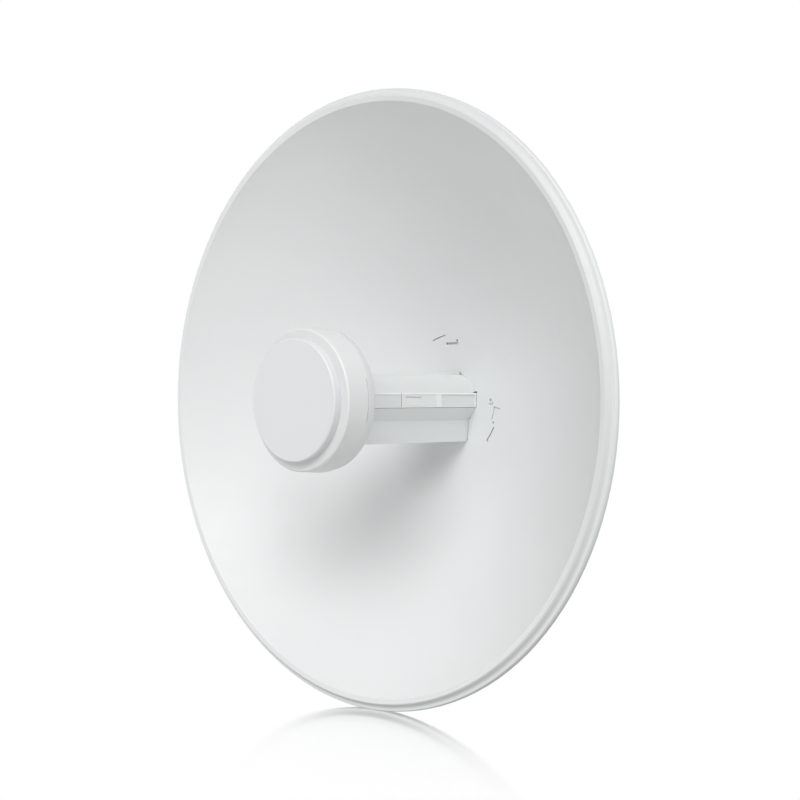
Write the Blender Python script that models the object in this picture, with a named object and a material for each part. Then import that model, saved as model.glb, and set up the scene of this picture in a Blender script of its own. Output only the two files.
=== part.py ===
"""Parabolic dish antenna: pressed steel reflector, plug-in feed, rear housing, bracket and pole clamp.

World frame: metres, +Z up, the dish looks along -Y. The origin is the centre of the pole bracket's flat
rear face, where the bracket meets what carries it. Everything is drawn in the boresight frame, an empty
whose +Z is the way the dish looks, +Y is up and +X is the world's +X.
"""

import math

import bmesh
import bpy

# Reflector, measured from the pole bracket's rear face along the boresight
RIM_RADIUS = 0.2100
RIM_BACK = 0.1510
BOWL_RADIUS = 0.2003
BOWL_EDGE = RIM_BACK + 0.0055
BOWL_VERTEX = RIM_BACK - 0.0910
SHEET = 0.0012
BOWL_RINGS = 12
DISH_SEGMENTS = 128
GAP = 0.0003
FIT_GAP = 0.00006

# Feed head at the focus
DISC_FRONT = RIM_BACK + 0.0688
DISC_RADIUS = 0.0403
DISC_BEVEL = 0.0008
DISC_NECK_RADIUS = 0.0389
DISC_FLANGE = 0.0034
DRUM_FRONT = RIM_BACK + 0.0628
DRUM_RADIUS = 0.0469
DRUM_BEVEL = 0.0010
SEAM_RADIUS = 0.0478
BAND_FRONT = RIM_BACK + 0.0458
BAND_BACK = RIM_BACK + 0.0454
BAND_DEPTH = 0.0001
PRY_SLOT_DEGREES = 17
COVER_RADIUS = 0.0467
DRUM_BACK = RIM_BACK + 0.0382
FEED_SEGMENTS = 64

# Neck section, about the dish axis
ARCH_TOP = 0.0185
ARCH_FOOT = (0.0173, 0.0052)
RAIL_HALF_WIDTH = 0.0182
RAIL_TOP = 0.0040
RAIL_BOTTOM = -0.0052
KEEL_HALF_WIDTH = 0.0108
KEEL_SHOULDER = -0.0145
KEEL_BOTTOM = -0.0298
ARCH_STEPS = 16
NECK_BACK = 0.0300
RAMP_BACK = 0.0628

# Recesses along the neck's sides and the panels in them
POCKET_DEPTH = 0.0022
POCKET_TOP = 0.0037
POCKET_BOTTOM = -0.0043
PANEL_THICKNESS = 0.0014
PANEL_SEAM = RIM_BACK - 0.0141
PANEL_SEAM_WIDTH = 0.0008
LATCH_END = RIM_BACK - 0.0489
REAR_POCKET_START = RIM_BACK - 0.0538
REAR_POCKET_END = RIM_BACK - 0.0886
LATCH_SLOT_START = RIM_BACK - 0.0184
LATCH_SLOT_END = RIM_BACK - 0.0334
LATCH_SLOT_UP = 0.0019

# Rear housing behind the reflector
HOUSING_RADIUS = 0.0635
HOUSING_BACK = 0.0470
HOUSING_FLAT_RADIUS = 0.0445
HOUSING_SEGMENTS = 64
NECK_CLEARANCE = 0.0003
HOLE_CLEARANCE = 0.00005

# Tilt pivot, tilt lock and the plates they go through
PIVOT_FORWARD = 0.0210
PIVOT_UP = -0.0160
LOCK_UP = 0.0160
TILT_EACH_WAY = math.radians(15)
BOLT_RADIUS = 0.0030
BOLT_CLEARANCE = 0.0003
LUG_INNER = 0.0205
LUG_OUTER = 0.0260
LUG_HALF_HEIGHT = 0.0270
LUG_BACK = 0.0110
EAR_THICKNESS = 0.0025
EAR_TOP = 0.0250
EAR_BOTTOM = -0.0270
EAR_FRONT = 0.0365

# Pole bracket, pole clamp and the bolts that draw them together
PLATE = 0.0030
BRACKET_HALF_WIDTH = 0.0480
BRACKET_HALF_HEIGHT = 0.0365
JAW_HALF_WIDTH = 0.0300
JAW_DEPTH = 0.0200
POLE_RADIUS = 0.0190
POLE_CENTRE = -0.0245
CLAMP_FACE = -0.0495
CLAMP_HALF_HEIGHT = 0.0305
CLAMP_BOLT_OFFSET = 0.0380
CLAMP_BOLT_RADIUS = 0.0040
CLAMP_BOLT_END = -0.0640
TOOTH_PITCH = 0.0040
TOOTH_DEPTH = 0.0012


def material(name, colour, roughness, metallic=0.0):
    """A plain Principled finish."""
    made = bpy.data.materials.new(name)
    made.use_nodes = True
    shader = made.node_tree.nodes["Principled BSDF"]
    shader.inputs["Base Color"].default_value = (*colour, 1.0)
    shader.inputs["Roughness"].default_value = roughness
    shader.inputs["Metallic"].default_value = metallic
    made.diffuse_color = (*colour, 1.0)
    return made


def add_object(name, shape, finish, parent, smooth_under=math.radians(35)):
    """Turns a bmesh into a named object under its parent, with round faces shaded smooth."""
    bmesh.ops.recalc_face_normals(shape, faces=shape.faces)
    mesh = bpy.data.meshes.new(name)
    shape.to_mesh(mesh)
    shape.free()
    mesh.shade_smooth()
    mesh.set_sharp_from_angle(angle=smooth_under)
    if finish:
        mesh.materials.append(finish)
    made = bpy.data.objects.new(name, mesh)
    bpy.context.scene.collection.objects.link(made)
    made.parent = parent
    return made


def turned(name, profile, segments, finish, parent):
    """A solid of revolution about local Z, from a closed run of (radius, height) points."""
    shape = bmesh.new()
    points = [shape.verts.new((radius, 0.0, height)) for radius, height in profile]
    runs = list(zip(points, points[1:]))
    if profile[0][0] > 0 or profile[-1][0] > 0:
        runs.append((points[-1], points[0]))
    edges = [shape.edges.new(run) for run in runs]
    bmesh.ops.spin(
        shape,
        geom=points + edges,
        axis=(0, 0, 1),
        cent=(0, 0, 0),
        angle=math.tau,
        steps=segments,
        use_merge=True,
    )
    bmesh.ops.remove_doubles(shape, verts=shape.verts, dist=1e-7)
    return add_object(name, shape, finish, parent)


def prism(name, outline, low, high, finish, parent):
    """A prism over an outline of local (x, y) points, from height low to height high."""
    shape = bmesh.new()
    base = shape.faces.new([shape.verts.new((x, y, low)) for x, y in outline])
    top = bmesh.ops.extrude_face_region(shape, geom=[base])["geom"]
    raised = [item for item in top if isinstance(item, bmesh.types.BMVert)]
    bmesh.ops.translate(shape, verts=raised, vec=(0, 0, high - low))
    return add_object(name, shape, finish, parent)


def side_prism(name, outline, low, high, finish, parent):
    """A prism over an outline of (forward, up) points, from x = low to x = high."""
    made = prism(name, outline, -high, -low, finish, parent)
    made.rotation_euler = (0, -math.pi / 2, 0)
    return made


def plan_prism(name, outline, low, high, finish, parent):
    """A prism over an outline of (x, forward) points, from up = low to up = high."""
    made = prism(name, outline, -high, -low, finish, parent)
    made.rotation_euler = (math.pi / 2, 0, 0)
    return made


def arc(centre, radius, start, end, steps):
    """Points on an arc, both ends included."""
    turn = (end - start) / steps
    return [
        (centre[0] + radius * math.cos(start + turn * i), centre[1] + radius * math.sin(start + turn * i))
        for i in range(steps + 1)
    ]


def circle(centre, radius, segments):
    """Points on a full circle."""
    return arc(centre, radius, 0.0, math.tau, segments)[:-1]


def arc_band(centre, inner, outer, start_degrees, end_degrees, steps):
    """Outline of a curved slot between two radii."""
    start = math.radians(start_degrees)
    end = math.radians(end_degrees)
    return arc(centre, outer, start, end, steps) + arc(centre, inner, end, start, steps)


def rectangle(low_x, high_x, low_y, high_y):
    """Outline of a plain rectangle."""
    return [(low_x, low_y), (high_x, low_y), (high_x, high_y), (low_x, high_y)]


def rounded_rectangle(low_x, high_x, low_y, high_y, radius, steps=4):
    """Outline of a rectangle with its four corners rounded."""
    quarter = math.pi / 2
    corners = [
        (high_x - radius, low_y + radius, -quarter),
        (high_x - radius, high_y - radius, 0.0),
        (low_x + radius, high_y - radius, quarter),
        (low_x + radius, low_y + radius, math.pi),
    ]
    points = []
    for x, y, start in corners:
        points += arc((x, y), radius, start, start + quarter, steps)
    return points


def combine(target, tool, operation):
    """Cuts the tool from the target, or joins it, and hides the tool."""
    modifier = target.modifiers.new(tool.name, "BOOLEAN")
    modifier.operation = operation
    modifier.solver = "EXACT"
    modifier.object = tool
    tool.hide_render = True
    tool.display_type = "WIRE"


def cut(target, *tools):
    for tool in tools:
        combine(target, tool, "DIFFERENCE")


def join(target, *tools):
    for tool in tools:
        combine(target, tool, "UNION")


def bowl_front(radius):
    """Height of the reflector's front surface at a radius from its axis."""
    return BOWL_VERTEX + (BOWL_EDGE - BOWL_VERTEX) * (radius / BOWL_RADIUS) ** 2


def bowl_behind(radius, depth):
    """The (radius, height) point that lies at a depth behind the front surface, along its normal."""
    slope = 2 * (BOWL_EDGE - BOWL_VERTEX) * radius / BOWL_RADIUS**2
    length = math.hypot(1.0, slope)
    return radius + depth * slope / length, bowl_front(radius) - depth / length


def arch_centre():
    """Height of the centre of the neck's arch."""
    foot_x, foot_y = ARCH_FOOT
    return (ARCH_TOP**2 - foot_x**2 - foot_y**2) / (2 * (ARCH_TOP - foot_y))


def neck_outline(grow=0.0):
    """The neck's section, grown outwards all round by a clearance."""
    foot_x, foot_y = ARCH_FOOT
    centre_y = arch_centre()
    foot_angle = math.atan2(foot_y - centre_y, foot_x)
    arch = arc((0.0, centre_y), ARCH_TOP - centre_y + grow, foot_angle, math.pi - foot_angle, ARCH_STEPS)
    right = [
        (KEEL_HALF_WIDTH + grow, KEEL_BOTTOM - grow),
        (KEEL_HALF_WIDTH + grow, KEEL_SHOULDER - grow / 2),
        (RAIL_HALF_WIDTH + grow, RAIL_BOTTOM - grow / 2),
        (RAIL_HALF_WIDTH + grow, RAIL_TOP + grow / 2),
    ]
    left = [(-x, y) for x, y in reversed(right)]
    return right + arch + left


def latch_slots():
    """Outlines of the slots beside the neck, by name: one group above it and one to its right."""
    centre = (0.0, 0.0)
    pin = (0.0334, -0.0002)
    hook = [
        (-0.0080, 0.0400),
        (0.0040, 0.0400),
        (0.0040, 0.0436),
        (0.0022, 0.0436),
        (0.0022, 0.0416),
        (-0.0080, 0.0416),
    ]
    above = {
        "hook_slot": hook,
        "sight_slot": arc_band(centre, 0.0470, 0.0478, 99.5, 115.0, 6),
    }
    aside = {
        "outer_slot": arc_band(centre, 0.0417, 0.0430, -42.0, -27.0, 6),
        "outer_slot_end": circle((0.0320, -0.0286), 0.0011, 10),
        "inner_slot": arc_band(centre, 0.0373, 0.0380, -21.5, -8.0, 6),
        "inner_slot_arm": [(0.0366, -0.0052), (0.0367, -0.0046), (0.0443, -0.0058), (0.0442, -0.0064)],
        "stop_hole": circle((0.0369, -0.0159), 0.0009, 10),
        "pin_hole": circle(pin, 0.0012, 10),
        "pin_collar_slot": arc_band(pin, 0.0026, 0.0032, -131.0, -26.0, 6),
    }
    return above, aside


def mirrored(outline):
    """The same outline on the other side of the dish."""
    return [(-x, y) for x, y in reversed(outline)]


def cut_reflector_slots(reflector, frame):
    """Opens the slots, and the places where the neck's hole stands further off."""
    low = BOWL_VERTEX - 0.005
    high = BOWL_VERTEX + 0.010
    above, aside = latch_slots()
    above["ramp_notch"] = rectangle(-0.0034, 0.0034, ARCH_TOP - 0.0010, ARCH_TOP + 0.0013)
    aside["rail_notch"] = rectangle(RAIL_HALF_WIDTH - 0.0020, RAIL_HALF_WIDTH + 0.0008, 0.0048, 0.0060)
    rail_side = RAIL_HALF_WIDTH + 0.0006
    aside["rail_relief"] = rectangle(RAIL_HALF_WIDTH - 0.0002, rail_side, RAIL_BOTTOM, RAIL_TOP - 0.0002)
    arch_middle = (0.0, arch_centre())
    arch_radius = ARCH_TOP - arch_middle[1]
    aside["arch_relief"] = arc_band(arch_middle, arch_radius - 0.0003, arch_radius + 0.0002, 62.0, 79.0, 4)
    keel_side = KEEL_HALF_WIDTH + 0.0003
    keel_inside = KEEL_HALF_WIDTH - 0.0002
    aside["keel_relief"] = rectangle(keel_inside, keel_side, KEEL_BOTTOM + 0.0010, KEEL_SHOULDER)
    aside["shoulder_relief"] = circle((0.0120, KEEL_SHOULDER + 0.0013), 0.0006, 10)
    aside["keel_corner_relief"] = circle((0.0112, KEEL_BOTTOM + 0.0014), 0.0006, 10)
    for name, outline in above.items():
        cut(reflector, prism(name + "_cut", outline, low, high, None, frame))
    for name, outline in aside.items():
        cut(reflector, prism("right_" + name + "_cut", outline, low, high, None, frame))
        cut(reflector, prism("left_" + name + "_cut", mirrored(outline), low, high, None, frame))


def make_reflector(frame, finish):
    """One pressed sheet: a paraboloid, a raised bead, a step and a hemmed lip open behind."""
    hub = 0.0040
    rings = [hub + (BOWL_RADIUS - hub) * i / BOWL_RINGS for i in range(BOWL_RINGS + 1)]
    front = [(radius, bowl_front(radius)) for radius in rings]
    behind = [bowl_behind(radius, SHEET) for radius in rings]
    bead = [
        (RIM_RADIUS - 0.0089, RIM_BACK + 0.0065),
        (RIM_RADIUS - 0.0057, RIM_BACK + 0.0067),
        (RIM_RADIUS - 0.0053, RIM_BACK + 0.0064),
        (RIM_RADIUS - 0.0044, RIM_BACK + 0.0046),
        (RIM_RADIUS - 0.0037, RIM_BACK + 0.0039),
        (RIM_RADIUS - 0.0029, RIM_BACK + 0.0035),
    ]
    hem = [
        (RIM_RADIUS - 0.0020, RIM_BACK + 0.0033),
        (RIM_RADIUS - 0.0009, RIM_BACK + 0.0033),
        (RIM_RADIUS - 0.0002, RIM_BACK + 0.0024),
        (RIM_RADIUS, RIM_BACK + 0.0010),
        (RIM_RADIUS, RIM_BACK),
        (RIM_RADIUS - 0.0008, RIM_BACK - 0.0010),
        (RIM_RADIUS - 0.0022, RIM_BACK - 0.0008),
        (RIM_RADIUS - 0.0040, RIM_BACK + 0.0022),
        (RIM_RADIUS - 0.0064, RIM_BACK + 0.0050),
        (RIM_RADIUS - 0.0085, RIM_BACK + 0.0050),
    ]
    profile = front + bead + hem + list(reversed(behind))
    reflector = turned("reflector", profile, DISH_SEGMENTS, finish, frame)
    low = BOWL_VERTEX - 0.010
    high = BOWL_VERTEX + 0.015
    cut(reflector, prism("neck_hole_cut", neck_outline(HOLE_CLEARANCE), low, high, None, frame))
    cut_reflector_slots(reflector, frame)
    return reflector


def make_feed(frame, finish):
    """The feed head: a front disc that overhangs its neck, a drum, a seam band and a rear cover."""
    spigot = 0.0340
    recess_floor = DRUM_FRONT - 0.0040
    disc = [
        (0.0, recess_floor),
        (spigot, recess_floor),
        (spigot, DRUM_FRONT + FIT_GAP),
        (DISC_NECK_RADIUS, DRUM_FRONT + FIT_GAP),
        (DISC_NECK_RADIUS, DISC_FRONT - DISC_FLANGE - 0.0008),
        (DISC_RADIUS, DISC_FRONT - DISC_FLANGE),
        (DISC_RADIUS, DISC_FRONT - DISC_BEVEL),
        (DISC_RADIUS - DISC_BEVEL, DISC_FRONT),
        (0.0, DISC_FRONT),
    ]
    turned("feed_front_disc", disc, FEED_SEGMENTS, finish, frame)
    drum_profile = [
        (0.0, BAND_FRONT + FIT_GAP),
        (SEAM_RADIUS, BAND_FRONT + FIT_GAP),
        (DRUM_RADIUS, DRUM_FRONT - DRUM_BEVEL),
        (DRUM_RADIUS - DRUM_BEVEL, DRUM_FRONT),
        (spigot + GAP, DRUM_FRONT),
        (spigot + GAP, recess_floor - GAP),
        (0.0, recess_floor - GAP),
    ]
    drum = turned("feed_drum", drum_profile, FEED_SEGMENTS, finish, frame)
    centre = (0.0, 0.0)
    pry_slot = arc_band(
        centre, SEAM_RADIUS - 0.0007, SEAM_RADIUS + 0.0010, -PRY_SLOT_DEGREES, PRY_SLOT_DEGREES, 8
    )
    slot_low = BAND_FRONT - 0.0005
    slot_high = BAND_FRONT + 0.0006
    cut(drum, prism("pry_slot_right_cut", pry_slot, slot_low, slot_high, None, frame))
    cut(drum, prism("pry_slot_left_cut", mirrored(pry_slot), slot_low, slot_high, None, frame))
    band = [
        (0.0, BAND_BACK),
        (SEAM_RADIUS - BAND_DEPTH, BAND_BACK),
        (SEAM_RADIUS - BAND_DEPTH, BAND_FRONT),
        (0.0, BAND_FRONT),
    ]
    turned("feed_seam_band", band, FEED_SEGMENTS, finish, frame)
    rear = [
        (0.0, DRUM_BACK),
        (COVER_RADIUS - 0.0018, DRUM_BACK),
        (COVER_RADIUS - 0.0008, DRUM_BACK + 0.0003),
        (COVER_RADIUS - 0.0002, DRUM_BACK + 0.0010),
        (COVER_RADIUS, DRUM_BACK + 0.0018),
        (SEAM_RADIUS, BAND_BACK - FIT_GAP),
        (0.0, BAND_BACK - FIT_GAP),
    ]
    turned("feed_rear_cover", rear, FEED_SEGMENTS, finish, frame)


def side_pockets():
    """The two recesses on each side of the neck, as (name, back end, front end)."""
    return [
        ("front", LATCH_END, DRUM_BACK - 0.0030),
        ("rear", REAR_POCKET_END, REAR_POCKET_START),
    ]


def side_panels():
    """The three panels on each side of the neck, as (name, back end, front end, how far below the rail)."""
    half_seam = PANEL_SEAM_WIDTH / 2
    return [
        ("front_panel", PANEL_SEAM + half_seam, DRUM_BACK - 0.0030 - GAP, 0.0003),
        ("latch_panel", LATCH_END + FIT_GAP, PANEL_SEAM - half_seam, 0.0002),
        ("rear_panel", REAR_POCKET_END + FIT_GAP, REAR_POCKET_START - GAP, 0.0007),
    ]


def make_side_panel(side, name, back, front, recess, frame, finish):
    """A panel lying in its recess; the latch panel has a slot that tapers to the back."""
    outer = RAIL_HALF_WIDTH - recess
    low, high = sorted((side * (outer - PANEL_THICKNESS), side * outer))
    outline = rectangle(back, front, POCKET_BOTTOM + FIT_GAP, POCKET_TOP - FIT_GAP)
    panel = side_prism(name, outline, low, high, finish, frame)
    if "latch" in name:
        slot = [
            (LATCH_SLOT_END, LATCH_SLOT_UP - 0.0004),
            (LATCH_SLOT_START, LATCH_SLOT_UP - 0.0005),
            (LATCH_SLOT_START, LATCH_SLOT_UP + 0.0008),
            (LATCH_SLOT_END, LATCH_SLOT_UP + 0.0001),
        ]
        reach = 0.0011
        low, high = sorted((side * (outer - reach), side * (outer + reach)))
        cut(panel, side_prism(name + "_slot_cut", slot, low, high, None, frame))
    return panel


def make_neck(frame, finish):
    """The two shells of the feed's neck, the ramp of its lock and the panels along its sides."""
    front = DRUM_BACK - GAP
    outline = neck_outline()
    upper_points = [(x, y) for x, y in outline if y > RAIL_BOTTOM - GAP]
    upper = prism("neck_upper_shell", upper_points, NECK_BACK, front, finish, frame)
    sunk = ARCH_TOP - 0.0012
    ramp = [
        (RAMP_BACK, sunk),
        (RAMP_BACK + 0.0190, sunk),
        (RAMP_BACK + 0.0190, ARCH_TOP - 0.0002),
        (RAMP_BACK + 0.0020, ARCH_TOP + 0.0018),
        (RAMP_BACK, ARCH_TOP + 0.0016),
    ]
    join(upper, side_prism("lock_ramp_join", ramp, -0.0040, 0.0040, None, frame))
    notch_low = ARCH_FOOT[1] - 0.0002
    foot_notch = rectangle(BOWL_VERTEX - 0.0030, BOWL_VERTEX + 0.0033, notch_low, notch_low + 0.0007)
    half_seam = PANEL_SEAM_WIDTH / 2
    seam = rectangle(PANEL_SEAM - half_seam, PANEL_SEAM + half_seam, POCKET_BOTTOM, notch_low)
    outside = RAIL_HALF_WIDTH + 0.0010
    for side, side_name in ((1, "right"), (-1, "left")):
        for name, back, ahead in side_pockets():
            low, high = sorted((side * (RAIL_HALF_WIDTH - POCKET_DEPTH), side * outside))
            pocket = rectangle(back, ahead, POCKET_BOTTOM, POCKET_TOP)
            cut(upper, side_prism(f"{name}_{side_name}_pocket_cut", pocket, low, high, None, frame))
        low, high = sorted((side * (RAIL_HALF_WIDTH - 0.0011), side * outside))
        cut(upper, side_prism(f"panel_seam_{side_name}_cut", seam, low, high, None, frame))
        low, high = sorted((side * (ARCH_FOOT[0] - 0.0022), side * outside))
        cut(upper, side_prism(f"foot_notch_{side_name}_cut", foot_notch, low, high, None, frame))
        for name, back, ahead, recess in side_panels():
            make_side_panel(side, f"neck_{name}_{side_name}", back, ahead, recess, frame, finish)
    shoulder_run = RAIL_HALF_WIDTH - KEEL_HALF_WIDTH
    lower_top = RAIL_BOTTOM - GAP
    inset = shoulder_run * GAP / (RAIL_BOTTOM - KEEL_SHOULDER)
    half = [
        (KEEL_HALF_WIDTH, KEEL_BOTTOM),
        (KEEL_HALF_WIDTH, KEEL_SHOULDER),
        (RAIL_HALF_WIDTH - inset, lower_top),
    ]
    lower_points = half + [(-x, y) for x, y in reversed(half)]
    prism("neck_lower_shell", lower_points, NECK_BACK, front, finish, frame)


def make_rear_housing(frame, finish):
    """The moulding behind the reflector: a seat that closes the slots, a sloping skirt and two lugs."""
    seat = [bowl_behind(radius, SHEET + GAP) for radius in (0.0040, 0.0220, 0.0400, 0.0520, 0.0615)]
    skirt = [
        (HOUSING_RADIUS - 0.0005, HOUSING_BACK + 0.0204),
        (HOUSING_RADIUS, HOUSING_BACK + 0.0196),
        (HOUSING_RADIUS, HOUSING_BACK + 0.0172),
        (HOUSING_RADIUS - 0.0015, HOUSING_BACK + 0.0150),
        (HOUSING_FLAT_RADIUS + 0.0020, HOUSING_BACK + 0.0014),
        (HOUSING_FLAT_RADIUS, HOUSING_BACK),
        (0.0040, HOUSING_BACK),
    ]
    housing = turned("rear_housing", seat + skirt, HOUSING_SEGMENTS, finish, frame)
    lug = rounded_rectangle(LUG_BACK, HOUSING_BACK + 0.0050, -LUG_HALF_HEIGHT, LUG_HALF_HEIGHT, 0.0090)
    for side, side_name in ((1, "right"), (-1, "left")):
        low, high = sorted((side * LUG_INNER, side * LUG_OUTER))
        join(housing, side_prism(f"{side_name}_lug_join", lug, low, high, None, frame))
    hole = neck_outline(NECK_CLEARANCE)
    cut(housing, prism("neck_socket_cut", hole, HOUSING_BACK - 0.005, BOWL_VERTEX + 0.005, None, frame))
    for name, up in (("pivot", PIVOT_UP), ("lock", LOCK_UP)):
        bore = circle((PIVOT_FORWARD, up), BOLT_RADIUS + BOLT_CLEARANCE, 16)
        reach = LUG_OUTER + 0.0050
        cut(housing, side_prism(f"{name}_bore_cut", bore, -reach, reach, None, frame))
    return housing


def make_housing_fittings(frame, plastic, rubber):
    """The release button, the cover over the neck's rear end and the cable's gland below it."""
    button_up = 0.0345
    button = rounded_rectangle(-0.0090, 0.0090, button_up - 0.0050, button_up + 0.0050, 0.0035)
    prism("release_button", button, HOUSING_BACK - 0.0040, HOUSING_BACK - GAP, plastic, frame)
    cover = neck_outline(-0.0004)
    prism("port_cover", cover, NECK_BACK - 0.0024, NECK_BACK - GAP, plastic, frame)
    gland_profile = [
        (0.0, 0.0),
        (0.0058, 0.0),
        (0.0058, 0.0025),
        (0.0050, 0.0032),
        (0.0050, 0.0042),
        (0.0056, 0.0049),
        (0.0056, 0.0068),
        (0.0046, 0.0080),
        (0.0030, 0.0080),
        (0.0030, 0.0050),
        (0.0, 0.0050),
    ]
    gland = turned("cable_gland", gland_profile, 24, rubber, frame)
    gland.location = (0.0, KEEL_BOTTOM - GAP, 0.0385)
    gland.rotation_euler = (math.pi / 2, 0, 0)


def make_tilt_bracket(frame, finish):
    """A folded steel channel whose two ears carry the lugs."""
    outer = LUG_OUTER + GAP + EAR_THICKNESS
    web_back = PLATE + GAP
    channel = [
        (-outer, EAR_FRONT),
        (-outer, web_back + 0.0020),
        (-outer + 0.0020, web_back),
        (outer - 0.0020, web_back),
        (outer, web_back + 0.0020),
        (outer, EAR_FRONT),
        (outer - EAR_THICKNESS, EAR_FRONT),
        (outer - EAR_THICKNESS, web_back + EAR_THICKNESS),
        (-outer + EAR_THICKNESS, web_back + EAR_THICKNESS),
        (-outer + EAR_THICKNESS, EAR_FRONT),
    ]
    bracket = plan_prism("tilt_bracket", channel, EAR_BOTTOM, EAR_TOP, finish, frame)
    reach = outer + 0.0050
    trim = 0.0110
    for name, up, way in (("upper", EAR_TOP, 1), ("lower", EAR_BOTTOM, -1)):
        start = 0.0 if way > 0 else -math.pi / 2
        centre = (EAR_FRONT - trim, up - way * trim)
        curve = arc(centre, trim, start, start + math.pi / 2, 5)
        far_ahead = EAR_FRONT + 0.0050
        far_up = up + way * 0.0050
        around = [(far_ahead, centre[1]), (far_ahead, far_up), (centre[0], far_up)]
        if way < 0:
            around.reverse()
        outline = around + list(reversed(curve))
        cut(bracket, side_prism(f"{name}_ear_corner_cut", outline, -reach, reach, None, frame))
    hole_radius = BOLT_RADIUS + BOLT_CLEARANCE
    pivot = (PIVOT_FORWARD, PIVOT_UP)
    cut(bracket, side_prism("pivot_hole_cut", circle(pivot, hole_radius, 16), -reach, reach, None, frame))
    swing = LOCK_UP - PIVOT_UP
    quarter = math.pi / 2
    outer_arc = arc(pivot, swing + hole_radius, quarter - TILT_EACH_WAY, quarter + TILT_EACH_WAY, 6)
    inner_arc = arc(pivot, swing - hole_radius, quarter + TILT_EACH_WAY, quarter - TILT_EACH_WAY, 6)
    ends = []
    for way in (1, -1):
        angle = quarter + way * TILT_EACH_WAY
        centre = (pivot[0] + swing * math.cos(angle), pivot[1] + swing * math.sin(angle))
        first = angle if way > 0 else angle + math.pi
        ends.append(arc(centre, hole_radius, first, first + math.pi, 6)[1:-1])
    slot = outer_arc + ends[0] + inner_arc + ends[1]
    cut(bracket, side_prism("tilt_slot_cut", slot, -reach, reach, None, frame))
    return bracket


def jaw_outline(flange_end, notch_floor, way):
    """The toothed half of a V notch for a round pole, as (x, forward) points; way is the way it points."""
    apex = POLE_CENTRE - way * POLE_RADIUS * math.sqrt(2)
    floor_half = abs(notch_floor - apex)
    mouth_half = abs(flange_end - apex)
    teeth = round((mouth_half - floor_half) / TOOTH_PITCH * math.sqrt(2))
    step = (mouth_half - floor_half) / teeth
    edge = [(floor_half, notch_floor)]
    for i in range(teeth):
        root = floor_half + step * i
        tip = root + step
        edge.append((root + TOOTH_DEPTH, apex + way * root))
        edge.append((tip, apex + way * tip))
    return edge


def make_jawed_plate(name, face, way, half_height, frame, finish):
    """A bolted plate with a toothed jaw along its top and bottom; way is the way the jaws point."""
    low, high = sorted((face, face - way * PLATE))
    outline = rounded_rectangle(-BRACKET_HALF_WIDTH, BRACKET_HALF_WIDTH, -half_height, half_height, 0.0080)
    plate = prism(name, outline, low, high, finish, frame)
    flange_end = face + way * JAW_DEPTH
    edge = jaw_outline(flange_end, face + way * 0.0035, way)
    right = edge + [(JAW_HALF_WIDTH, flange_end), (JAW_HALF_WIDTH, face - way * PLATE / 2)]
    flange = right + [(-x, forward) for x, forward in reversed(right)]
    for end, up in (("upper", half_height - 0.0005), ("lower", -half_height + 0.0005 + PLATE)):
        tool = plan_prism(f"{name}_{end}_jaw_join", flange, up - PLATE, up, None, frame)
        join(plate, tool)
    for side in (1, -1):
        hole = circle((side * CLAMP_BOLT_OFFSET, 0.0), CLAMP_BOLT_RADIUS + GAP, 16)
        tool = prism(f"{name}_bolt_hole_cut", hole, low - 0.002, high + 0.002, None, frame)
        cut(plate, tool)
    return plate


def flanged_head(name, shank, head, flange_radius, across_flats, finish, parent):
    """A hexagon on a round flange along +Z from the seat, with a shank of (radius, length) behind it."""
    flange_height = 0.0014
    radius, length = shank
    body = [
        (0.0, -length),
        (radius - 0.0004, -length),
        (radius, -length + 0.0004),
        (radius, 0.0),
        (flange_radius, 0.0),
        (flange_radius, flange_height * 0.6),
        (across_flats / 2, flange_height),
        (0.0, flange_height),
    ]
    made = turned(name, body, 24, finish, parent)
    corner = across_flats / math.sqrt(3)
    hexagon = circle((0.0, 0.0), corner, 6)
    hexagon_tool = prism(name + "_hexagon_join", hexagon, flange_height / 2, head, None, made)
    join(made, hexagon_tool)
    return made


def make_tilt_bolts(frame, finish):
    """The flanged bolts through the ears: a pivot and a lock on each side."""
    seat = LUG_OUTER + 2 * GAP + EAR_THICKNESS
    shank = (BOLT_RADIUS, seat - LUG_INNER - GAP)
    for side, side_name in ((1, "right"), (-1, "left")):
        for job, up in (("pivot", PIVOT_UP), ("lock", LOCK_UP)):
            name = f"tilt_{job}_bolt_{side_name}"
            bolt = flanged_head(name, shank, 0.0058, 0.0070, 0.0100, finish, frame)
            bolt.location = (side * seat, up, PIVOT_FORWARD)
            bolt.rotation_euler = (0, side * math.pi / 2, 0)


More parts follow.
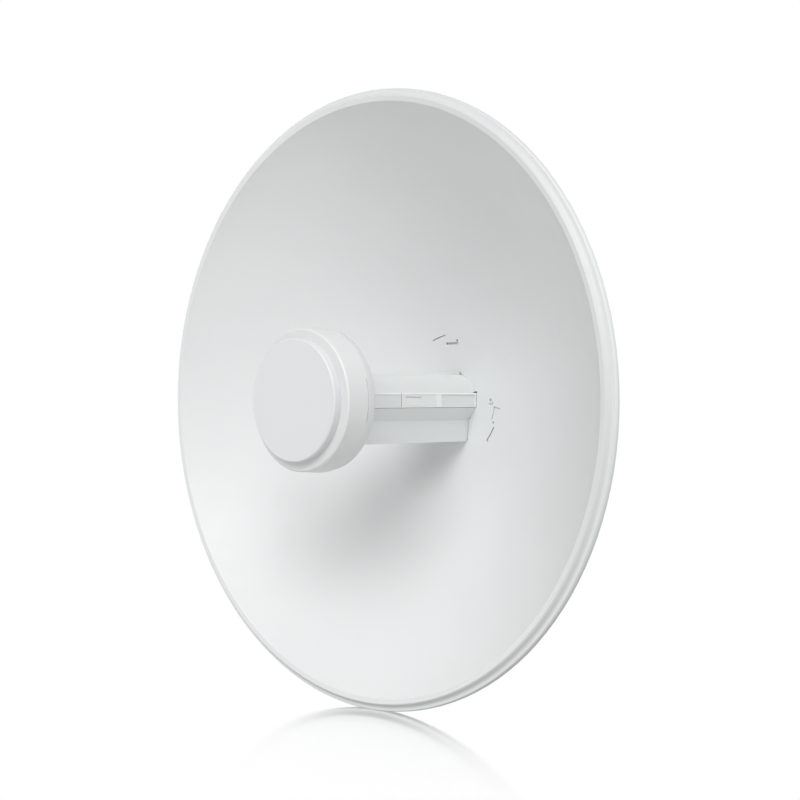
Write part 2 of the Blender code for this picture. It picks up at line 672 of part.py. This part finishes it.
def make_clamp_bolts(frame, finish):
    """Round-headed bolts from the bracket's front through the clamp, each with a flanged nut."""
    head_seat = PLATE + GAP
    nut_seat = CLAMP_FACE - PLATE - GAP
    end_bevel = 0.0005
    length = head_seat - CLAMP_BOLT_END
    bolt_profile = [
        (0.0, -length),
        (CLAMP_BOLT_RADIUS - end_bevel, -length),
        (CLAMP_BOLT_RADIUS, -length + end_bevel),
        (CLAMP_BOLT_RADIUS, 0.0),
        (0.0082, 0.0),
        (0.0080, 0.0012),
        (0.0066, 0.0030),
        (0.0044, 0.0041),
        (0.0020, 0.0046),
        (0.0, 0.0047),
    ]
    nut_profile = [
        (CLAMP_BOLT_RADIUS + GAP, 0.0),
        (0.0089, 0.0),
        (0.0089, 0.0012),
        (0.0065, 0.0020),
        (0.0062, 0.0020),
        (CLAMP_BOLT_RADIUS + GAP, 0.0020),
    ]
    for side, side_name in ((1, "right"), (-1, "left")):
        across = side * CLAMP_BOLT_OFFSET
        bolt = turned(f"clamp_bolt_{side_name}", bolt_profile, 20, finish, frame)
        bolt.location = (across, 0.0, head_seat)
        nut = turned(f"clamp_nut_{side_name}", nut_profile, 24, finish, frame)
        hexagon = circle((0.0, 0.0), 0.0075, 6)
        bore = circle((0.0, 0.0), CLAMP_BOLT_RADIUS + GAP, 24)
        join(nut, prism(f"nut_hexagon_{side_name}_join", hexagon, 0.0010, 0.0080, None, nut))
        cut(nut, prism(f"nut_bore_{side_name}_cut", bore, -0.0020, 0.0100, None, nut))
        nut.location = (across, 0.0, nut_seat)
        nut.rotation_euler = (math.pi, 0, 0)


def main():
    for leftover in list(bpy.data.objects):
        bpy.data.objects.remove(leftover)
    powder_coat = material("white_powder_coat", (0.84, 0.845, 0.85), 0.38)
    white_plastic = material("white_plastic", (0.83, 0.835, 0.84), 0.42)
    zinc_steel = material("zinc_plated_steel", (0.62, 0.63, 0.65), 0.38, 1.0)
    rubber = material("grey_rubber", (0.20, 0.20, 0.21), 0.75)

    frame = bpy.data.objects.new("boresight_frame", None)
    frame.rotation_euler = (math.pi / 2, 0, 0)
    bpy.context.scene.collection.objects.link(frame)

    make_reflector(frame, powder_coat)
    make_feed(frame, white_plastic)
    make_neck(frame, white_plastic)
    make_rear_housing(frame, white_plastic)
    make_housing_fittings(frame, white_plastic, rubber)
    make_tilt_bracket(frame, zinc_steel)
    make_jawed_plate("pole_bracket", 0.0, -1, BRACKET_HALF_HEIGHT, frame, zinc_steel)
    make_jawed_plate("pole_clamp", CLAMP_FACE, 1, CLAMP_HALF_HEIGHT, frame, zinc_steel)
    make_tilt_bolts(frame, zinc_steel)
    make_clamp_bolts(frame, zinc_steel)


main()
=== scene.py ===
"""Looks of the parabolic dish antenna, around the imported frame.

World frame as in the model: metres, +Z up, the dish looks along -Y. Azimuth 0 is in front of the dish, and
90 to its +X side. Pixels are those of the 800 x 800 photograph.
"""

import math

import bpy
from mathutils import Matrix, Vector


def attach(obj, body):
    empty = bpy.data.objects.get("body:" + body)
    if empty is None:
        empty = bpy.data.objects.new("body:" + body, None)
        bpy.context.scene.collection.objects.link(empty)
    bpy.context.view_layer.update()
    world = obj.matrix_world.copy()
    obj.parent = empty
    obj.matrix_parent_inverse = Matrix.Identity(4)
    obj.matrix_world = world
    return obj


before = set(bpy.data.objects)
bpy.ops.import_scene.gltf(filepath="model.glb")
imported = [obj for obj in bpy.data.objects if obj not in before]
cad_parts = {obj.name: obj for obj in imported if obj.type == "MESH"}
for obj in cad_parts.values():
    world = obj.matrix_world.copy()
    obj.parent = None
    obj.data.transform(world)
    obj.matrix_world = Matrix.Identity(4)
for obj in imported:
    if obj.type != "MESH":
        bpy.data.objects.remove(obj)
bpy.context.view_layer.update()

WHITE = (1.0, 1.0, 1.0, 1.0)

# The rim's radius, and how far ahead of the origin its back edge stands
RIM_RADIUS = 0.2100
RIM_BACK = 0.1510

# Camera, as the rim, the feed's discs and the neck place it: its direction in degrees and its distances
# from the rim's centre
CAMERA_AZIMUTH = 44.567
CAMERA_ELEVATION = 0.179
CAMERA_DISTANCE = 1.0163
CAMERA_ASIDE = -0.021626
CAMERA_ABOVE = -0.00004
CAMERA_FOCAL_PIXELS = 1491.9
IMAGE_SIDE = 800
SENSOR_WIDTH = 36.0

# Soft lights: name, (azimuth, elevation) in degrees, sharpness and strength. Sharpness 60 is a softbox,
# 16 a wide one, and 4 is a wall, the floor or the ceiling.
LIGHTS = (
    ("key_right", (45, 35), 60, 7.20),
    ("key_middle", (25, 45), 60, 3.60),
    ("key_front", (15, 32), 60, 5.60),
    ("key_left", (-15, 50), 60, 1.30),
    ("fill_front", (0, 20), 16, 0.60),
    ("fill_left", (-60, 30), 16, 1.40),
    ("wall_right", (90, 40), 4, 1.40),
    ("wall_behind_right", (120, 10), 4, 0.45),
    ("wall_behind_left", (-110, 0), 4, 1.45),
    ("floor_left", (-45, -40), 4, 0.70),
    ("floor_front", (15, -40), 4, 0.80),
    ("floor_right", (80, -35), 4, 0.16),
    ("floor_below", (0, -85), 4, 0.10),
)

# Floor: it leans a little and touches the rim's lowest point
FLOOR_UPWARD = Vector((-0.044, 0.047, 1.0)).normalized()
FLOOR_CONTACT = Vector((0.0092, -0.1515, -0.2093))
FLOOR_HALF_SIDE = 0.45

# The floor's mirror image: where it begins to fade on either side of the contact, how fast, its strength,
# and the size and height of the grain that blurs it
MIRROR_START = 0.005
MIRROR_REACH = 0.055
MIRROR_STRENGTH = 0.96
MIRROR_GRAIN_SIZE = 0.0006
MIRROR_GRAIN_HEIGHT = 0.000012
MIRROR_GRAIN_DETAIL = 0.0

# Shading: corners this close are joined, edges that turn by less than the angle look rounded, and sharper
# ones can get a small radius
WELD_DISTANCE = 0.000002
SMOOTH_ANGLE = math.radians(35)
EDGE_RADIUS = 0.00025
EDGE_SEGMENTS = 2

# Collar behind the feed's front disc: its radii inside and outside, and how far its ends stand ahead of the
# rim's back edge
COLLAR_RADII = (0.0386, 0.0400)
COLLAR_ENDS = (0.0629, 0.0653)
COLLAR_SEGMENTS = 96

# Painted shade in the reflector's crease between bead and lip, deeper towards the bottom: the radii at
# which it starts, is full, thins and ends, and its depth at two heights
CREASE_SHADE_RADII = (RIM_RADIUS - 0.0052, RIM_RADIUS - 0.0044, RIM_RADIUS - 0.0034, RIM_RADIUS - 0.0022)
CREASE_SHADE_HEIGHTS = (-0.18, 0.05)
CREASE_SHADE_DEPTHS = (0.21, 0.05)

# Painted shade and light: the bowl's tone falls towards its upper +X side, between two distances along this
# direction
PAINTED_SHADE_DIRECTION = (0.82, 0.0, 0.57)
PAINTED_SHADE_DISTANCES = (0.045, 0.165)
PAINTED_SHADE_LEVELS = (1.026, 0.922)

# A painted shadow, a faint dark patch on the bowl under the neck's root: its middle, and the distances from
# there at which it thins and ends
SHADOW_PATCH_PLACE = (-0.022, -0.065, -0.040)
SHADOW_PATCH_DISTANCES = (0.004, 0.034)
SHADOW_PATCH_DEPTH = 0.12

# The neck's rails and ribs, this far from its middle or further, are painted paler than the shells: a
# painted highlight for the light they catch
RAIL_ASIDE = 0.0177
RAIL_HIGHLIGHT_COLOUR = (0.90, 0.92, 0.917, 1.0)

# Every finish has slow changes of tone and of gloss: the scale and detail of their noise, the part of its
# range that is used, and how far the roughness changes
CLOUD_NOISE = (14.0, 3.0)
CLOUD_RANGE = (0.3, 0.7)
SMEAR_NOISE = (60.0, 4.0)
SMEAR_RANGE = (0.25, 0.75)
ROUGHNESS_CHANGE = 0.05
GRAIN_DETAIL = 2.0

# Surfaces: roughness, size and height of the grain, and how metallic
COATED = (0.42, 0.0011, 0.000012, 0.0)
MOULDED = (0.46, 0.0004, 0.000010, 0.0)
PANELLED = (0.50, 0.0004, 0.000012, 0.0)
GALVANISED = (0.34, 0.0025, 0.000015, 1.0)
RUBBERY = (0.75, 0.0006, 0.000020, 0.0)

# Finishes: name, pale tone, dark tone and surface
FINISHES = (
    ("powder_coat", (0.765, 0.782, 0.780), (0.750, 0.768, 0.766), COATED),
    ("white_plastic", (0.765, 0.782, 0.780), (0.755, 0.772, 0.770), MOULDED),
    ("neck_plastic", (0.782, 0.800, 0.797), (0.772, 0.790, 0.787), MOULDED),
    ("disc_plastic", (0.761, 0.776, 0.788), (0.751, 0.766, 0.778), MOULDED),
    ("zinc_steel", (0.640, 0.650, 0.665), (0.560, 0.570, 0.590), GALVANISED),
    ("rubber", (0.200, 0.200, 0.210), (0.170, 0.170, 0.180), RUBBERY),
)

# The neck's panels share a tint and differ in level
PANEL_LEVELS = (("front_panel", 0.765), ("latch_panel", 0.830), ("rear_panel", 0.790))
PANEL_TINT = (1.0, 1.022, 1.017)
PANEL_DARK = 0.99

# A node gets the finish of the first of these words that its name holds, and white plastic without one
FINISH_WORDS = (
    ("reflector", "powder_coat"),
    ("neck_upper_shell", "neck_plastic"),
    ("feed_front_disc", "disc_plastic"),
    ("front_panel", "front_panel_plastic"),
    ("latch_panel", "latch_panel_plastic"),
    ("rear_panel", "rear_panel_plastic"),
    ("cable_gland", "rubber"),
    ("tilt_bracket", "zinc_steel"),
    ("pole_bracket", "zinc_steel"),
    ("pole_clamp", "zinc_steel"),
    ("bolt", "zinc_steel"),
    ("nut", "zinc_steel"),
)

# Words in the names of the nodes that get an edge radius
ROUNDED_NODES = ("disc", "drum", "cover", "panel", "housing", "button", "gland", "bolt", "nut")


def towards(azimuth, elevation):
    """A direction from its azimuth and elevation in degrees."""
    around = math.radians(azimuth)
    above = math.radians(elevation)
    level = math.cos(above)
    return Vector((math.sin(around) * level, -math.cos(around) * level, math.sin(above)))


def make_camera():
    """The photograph's camera."""
    back = towards(CAMERA_AZIMUTH, CAMERA_ELEVATION)
    right = towards(CAMERA_AZIMUTH + 90, 0)
    up = back.cross(right)
    data = bpy.data.cameras.new("camera")
    data.sensor_width = SENSOR_WIDTH
    data.lens = CAMERA_FOCAL_PIXELS * SENSOR_WIDTH / IMAGE_SIDE
    camera = bpy.data.objects.new("camera", data)
    bpy.context.scene.collection.objects.link(camera)
    rim_centre = Vector((0.0, -RIM_BACK, 0.0))
    camera.matrix_world = Matrix((right, up, back)).transposed().to_4x4()
    camera.location = rim_centre + back * CAMERA_DISTANCE - right * CAMERA_ASIDE - up * CAMERA_ABOVE
    bpy.context.scene.camera = camera


class Nodes:
    """A short way to add nodes to a tree and link them."""

    def __init__(self, tree):
        self.tree = tree
        tree.nodes.clear()

    def add(self, kind, **settings):
        made = self.tree.nodes.new(kind)
        for key, value in settings.items():
            setattr(made, key, value)
        return made

    def link(self, source, target):
        self.tree.links.new(source, target)

    def value(self, socket, content):
        """Sets a socket from a number, a colour or another socket."""
        if isinstance(content, bpy.types.NodeSocket):
            self.link(content, socket)
        else:
            socket.default_value = content

    def math(self, operation, first, second=0.0):
        made = self.add("ShaderNodeMath", operation=operation)
        self.value(made.inputs[0], first)
        self.value(made.inputs[1], second)
        return made.outputs[0]

    def measure(self, operation, vector, other):
        """The dot product with another vector, or the distance from a place."""
        made = self.add("ShaderNodeVectorMath", operation=operation)
        self.link(vector, made.inputs[0])
        made.inputs[1].default_value = other
        return made.outputs["Value"]

    def spread(self, factor, low, high, out_low, out_high):
        """Maps a factor from one range to another, held at its ends."""
        made = self.add("ShaderNodeMapRange", clamp=True)
        self.value(made.inputs["Value"], factor)
        for name, content in (
            ("From Min", low), ("From Max", high), ("To Min", out_low), ("To Max", out_high),
        ):
            made.inputs[name].default_value = content
        return made.outputs["Result"]

    def mix(self, factor, first, second):
        """Mixes two colours, which a mix node takes at sockets 6 and 7 and gives at socket 2."""
        made = self.add("ShaderNodeMix", data_type="RGBA")
        self.value(made.inputs["Factor"], factor)
        self.value(made.inputs[6], first)
        self.value(made.inputs[7], second)
        return made.outputs[2]

    def mix_shaders(self, factor, first, second):
        made = self.add("ShaderNodeMixShader")
        self.link(factor, made.inputs[0])
        self.link(first.outputs[0], made.inputs[1])
        self.link(second.outputs[0], made.inputs[2])
        return made

    def noise(self, vector, scale, detail):
        made = self.add("ShaderNodeTexNoise")
        self.link(vector, made.inputs["Vector"])
        made.inputs["Scale"].default_value = scale
        made.inputs["Detail"].default_value = detail
        return made.outputs["Fac"]

    def grain(self, vector, size, height, detail):
        """A normal that a fine grain tilts."""
        bump = self.add("ShaderNodeBump")
        bump.inputs["Distance"].default_value = height
        self.link(self.noise(vector, 1.0 / size, detail), bump.inputs["Height"])
        return bump.outputs[0]

    def split(self, vector):
        """The X, Y and Z of a vector."""
        made = self.add("ShaderNodeSeparateXYZ")
        self.link(vector, made.inputs[0])
        return made.outputs

    def end(self, kind, shader):
        self.link(shader.outputs[0], self.add(kind).inputs[0])


def new_finish(name):
    """A material, its nodes and the place on the object that they all start from."""
    finish = bpy.data.materials.new(name)
    finish.use_nodes = True
    nodes = Nodes(finish.node_tree)
    return finish, nodes, nodes.add("ShaderNodeTexCoord").outputs["Object"]


def make_world():
    """Soft studio light from all round, and plain white behind the object."""
    world = bpy.data.worlds.new("studio")
    bpy.context.scene.world = world
    world.use_nodes = True
    nodes = Nodes(world.node_tree)
    direction = nodes.add("ShaderNodeTexCoord").outputs["Generated"]
    total = 0.0
    for name, aim, sharpness, strength in LIGHTS:
        facing = nodes.math("MAXIMUM", nodes.measure("DOT_PRODUCT", direction, towards(*aim)), 0.0)
        lobe = nodes.math("MULTIPLY", nodes.math("POWER", facing, sharpness), strength)
        lobe.node.label = name
        total = nodes.math("ADD", lobe, total)
    light = nodes.add("ShaderNodeBackground")
    light.inputs["Color"].default_value = WHITE
    nodes.link(total, light.inputs["Strength"])
    backdrop = nodes.add("ShaderNodeBackground")
    backdrop.inputs["Color"].default_value = WHITE
    path = nodes.add("ShaderNodeLightPath").outputs
    seen = nodes.math("MAXIMUM", path["Is Camera Ray"], path["Is Singular Ray"])
    nodes.end("ShaderNodeOutputWorld", nodes.mix_shaders(seen, light, backdrop))


def mirror_finish():
    """Clear, but for a mirror image that only the camera sees and that fades away from the contact."""
    finish, nodes, place = new_finish("floor_white")
    away = nodes.math("SUBTRACT", nodes.math("ABSOLUTE", nodes.split(place)["Y"]), MIRROR_START)
    away = nodes.math("MAXIMUM", away, 0.0)
    fade = nodes.math("EXPONENT", nodes.math("MULTIPLY", away, -1.0 / MIRROR_REACH))
    fade = nodes.math("MULTIPLY", fade, MIRROR_STRENGTH)
    seen = nodes.math("MULTIPLY", fade, nodes.add("ShaderNodeLightPath").outputs["Is Camera Ray"])
    mirror = nodes.add("ShaderNodeBsdfAnisotropic")
    mirror.inputs["Roughness"].default_value = 0.0
    mirror.inputs["Color"].default_value = WHITE
    uneven = nodes.grain(place, MIRROR_GRAIN_SIZE, MIRROR_GRAIN_HEIGHT, MIRROR_GRAIN_DETAIL)
    nodes.link(uneven, mirror.inputs["Normal"])
    clear = nodes.add("ShaderNodeBsdfTransparent")
    nodes.end("ShaderNodeOutputMaterial", nodes.mix_shaders(seen, clear, mirror))
    return finish


def make_floor():
    """A leaning floor that shows only as a mirror image."""
    half = FLOOR_HALF_SIDE
    corners = [(-half, -half, 0.0), (half, -half, 0.0), (half, half, 0.0), (-half, half, 0.0)]
    mesh = bpy.data.meshes.new("floor")
    mesh.from_pydata(corners, [], [(0, 1, 2, 3)])
    mesh.materials.append(mirror_finish())
    floor = bpy.data.objects.new("floor", mesh)
    floor.location = FLOOR_CONTACT
    floor.rotation_mode = "QUATERNION"
    floor.rotation_quaternion = Vector((0.0, 0.0, 1.0)).rotation_difference(FLOOR_UPWARD)
    bpy.context.scene.collection.objects.link(floor)


def paint_shade_on_coat(nodes, place, tone):
    """Paints shade into the coat: in the rim's crease, deeper towards the bottom, over the bowl's upper +X
    side, and a painted shadow under the neck's root.
    """
    apart = nodes.split(place)
    flat = nodes.add("ShaderNodeCombineXYZ")
    nodes.link(apart["X"], flat.inputs["X"])
    nodes.link(apart["Z"], flat.inputs["Z"])
    radius = nodes.measure("DISTANCE", flat.outputs[0], (0.0, 0.0, 0.0))
    # Painted shade in the rim's crease, deeper towards the bottom
    start, full, thin, end = CREASE_SHADE_RADII
    inner = nodes.spread(radius, start, full, 0.0, 1.0)
    outer = nodes.spread(radius, thin, end, 1.0, 0.0)
    depth = nodes.spread(apart["Z"], *CREASE_SHADE_HEIGHTS, *CREASE_SHADE_DEPTHS)
    crease_shade = nodes.math("MULTIPLY", nodes.math("MULTIPLY", inner, outer), depth)
    # Painted shade over the bowl's upper +X side, painted light at its other end
    level = nodes.spread(nodes.measure("DOT_PRODUCT", place, PAINTED_SHADE_DIRECTION), *PAINTED_SHADE_DISTANCES, *PAINTED_SHADE_LEVELS)
    bowl = nodes.math("SUBTRACT", 1.0, inner)
    shift = nodes.math("MULTIPLY", nodes.math("SUBTRACT", level, 1.0), bowl)
    # Painted shadow on the bowl under the neck's root
    painted_shadow = nodes.spread(nodes.measure("DISTANCE", place, SHADOW_PATCH_PLACE), *SHADOW_PATCH_DISTANCES, SHADOW_PATCH_DEPTH, 0.0)
    painted_shade = nodes.math("ADD", crease_shade, painted_shadow)
    scaled = nodes.add("ShaderNodeVectorMath", operation="SCALE")
    nodes.link(tone, scaled.inputs[0])
    nodes.link(nodes.math("SUBTRACT", nodes.math("ADD", 1.0, shift), painted_shade), scaled.inputs["Scale"])
    return scaled.outputs[0]


def paint_rail_highlight(nodes, place, tone):
    """Paints a highlight on the neck's outermost side faces by lightening them."""
    aside = nodes.math("ABSOLUTE", nodes.split(place)["X"])
    return nodes.mix(nodes.math("GREATER_THAN", aside, RAIL_ASIDE), tone, RAIL_HIGHLIGHT_COLOUR)


def painted(name, pale, dark, surface):
    """A finish with slow changes of tone and gloss and a fine grain, from its row and its surface."""
    roughness, grain_size, grain_height, metallic = surface
    finish, nodes, place = new_finish(name)
    cloud = nodes.spread(nodes.noise(place, *CLOUD_NOISE), *CLOUD_RANGE, 0.0, 1.0)
    tone = nodes.mix(cloud, (*dark, 1.0), (*pale, 1.0))
    # The powder coat gets painted shade, and the neck plastic a painted highlight on its rails
    if name == "powder_coat":
        tone = paint_shade_on_coat(nodes, place, tone)
    elif name == "neck_plastic":
        tone = paint_rail_highlight(nodes, place, tone)
    shader = nodes.add("ShaderNodeBsdfPrincipled")
    nodes.link(tone, shader.inputs["Base Color"])
    shader.inputs["Metallic"].default_value = metallic
    ends = (roughness - ROUGHNESS_CHANGE, roughness + ROUGHNESS_CHANGE)
    smear = nodes.spread(nodes.noise(place, *SMEAR_NOISE), *SMEAR_RANGE, *ends)
    nodes.link(smear, shader.inputs["Roughness"])
    nodes.link(nodes.grain(place, grain_size, grain_height, GRAIN_DETAIL), shader.inputs["Normal"])
    nodes.end("ShaderNodeOutputMaterial", shader)
    return finish


def make_finishes():
    """Every finish by its name."""
    finishes = {name: painted(name, pale, dark, surface) for name, pale, dark, surface in FINISHES}
    for word, level in PANEL_LEVELS:
        name = word + "_plastic"
        pale = tuple(level * part for part in PANEL_TINT)
        dark = tuple(PANEL_DARK * part for part in pale)
        finishes[name] = painted(name, pale, dark, PANELLED)
    return finishes


def smooth_shading():
    """Joins a mesh's loose corners, shades it smooth and keeps the edges above the angle crisp."""
    tree = bpy.data.node_groups.new("smooth_shading", "GeometryNodeTree")
    tree.interface.new_socket("Geometry", in_out="INPUT", socket_type="NodeSocketGeometry")
    tree.interface.new_socket("Geometry", in_out="OUTPUT", socket_type="NodeSocketGeometry")
    nodes = Nodes(tree)
    joined = nodes.add("GeometryNodeMergeByDistance")
    joined.inputs["Distance"].default_value = WELD_DISTANCE
    crisp = nodes.add("FunctionNodeCompare", data_type="FLOAT", operation="GREATER_THAN")
    crisp.inputs[1].default_value = SMOOTH_ANGLE
    nodes.link(nodes.add("GeometryNodeInputMeshEdgeAngle").outputs["Unsigned Angle"], crisp.inputs[0])
    shaded = nodes.add("GeometryNodeSetMeshNormal", mode="SHARPNESS")
    nodes.link(nodes.add("NodeGroupInput").outputs[0], joined.inputs[0])
    nodes.link(joined.outputs[0], shaded.inputs["Mesh"])
    nodes.link(crisp.outputs[0], shaded.inputs["Edge Sharpness"])
    nodes.end("NodeGroupOutput", shaded)
    return tree


def round_edges(node):
    """A small radius that catches the light."""
    edge = node.modifiers.new("edge_radius", "BEVEL")
    edge.width = EDGE_RADIUS
    edge.segments = EDGE_SEGMENTS
    edge.limit_method = "ANGLE"
    edge.angle_limit = SMOOTH_ANGLE
    edge.harden_normals = True


def dress_nodes(finishes):
    """Gives every node its finish, smooth shading and, where it is moulded or turned, an edge radius."""
    smooth = smooth_shading()
    for name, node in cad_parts.items():
        chosen = next((finish for word, finish in FINISH_WORDS if word in name), "white_plastic")
        node.data.materials.clear()
        node.data.materials.append(finishes[chosen])
        node.modifiers.new("smooth_shading", "NODES").node_group = smooth
        if any(word in name for word in ROUNDED_NODES):
            round_edges(node)


def make_collar(finish):
    """A ring that fills most of the groove between the feed's front disc and its drum."""
    inside, outside = COLLAR_RADII
    rear, front = COLLAR_ENDS
    corners = ((inside, rear), (outside, rear), (outside, front), (inside, front))
    places = []
    faces = []
    for turn in range(COLLAR_SEGMENTS):
        angle = 2 * math.pi * turn / COLLAR_SEGMENTS
        here = len(corners) * turn
        there = len(corners) * ((turn + 1) % COLLAR_SEGMENTS)
        for side, (radius, ahead) in enumerate(corners):
            beside = (side + 1) % len(corners)
            places.append((radius * math.cos(angle), -RIM_BACK - ahead, radius * math.sin(angle)))
            faces.append((here + side, there + side, there + beside, here + beside))
    mesh = bpy.data.meshes.new("feed_disc_collar")
    mesh.from_pydata(places, [], faces)
    mesh.shade_smooth()
    mesh.set_sharp_from_angle(angle=SMOOTH_ANGLE)
    mesh.materials.append(finish)
    collar = bpy.data.objects.new("feed_disc_collar", mesh)
    bpy.context.scene.collection.objects.link(collar)
    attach(collar, "root")


make_camera()
make_world()
make_floor()
finishes = make_finishes()
dress_nodes(finishes)
make_collar(finishes["white_plastic"])
bpy.context.scene.view_settings.view_transform = "Standard"
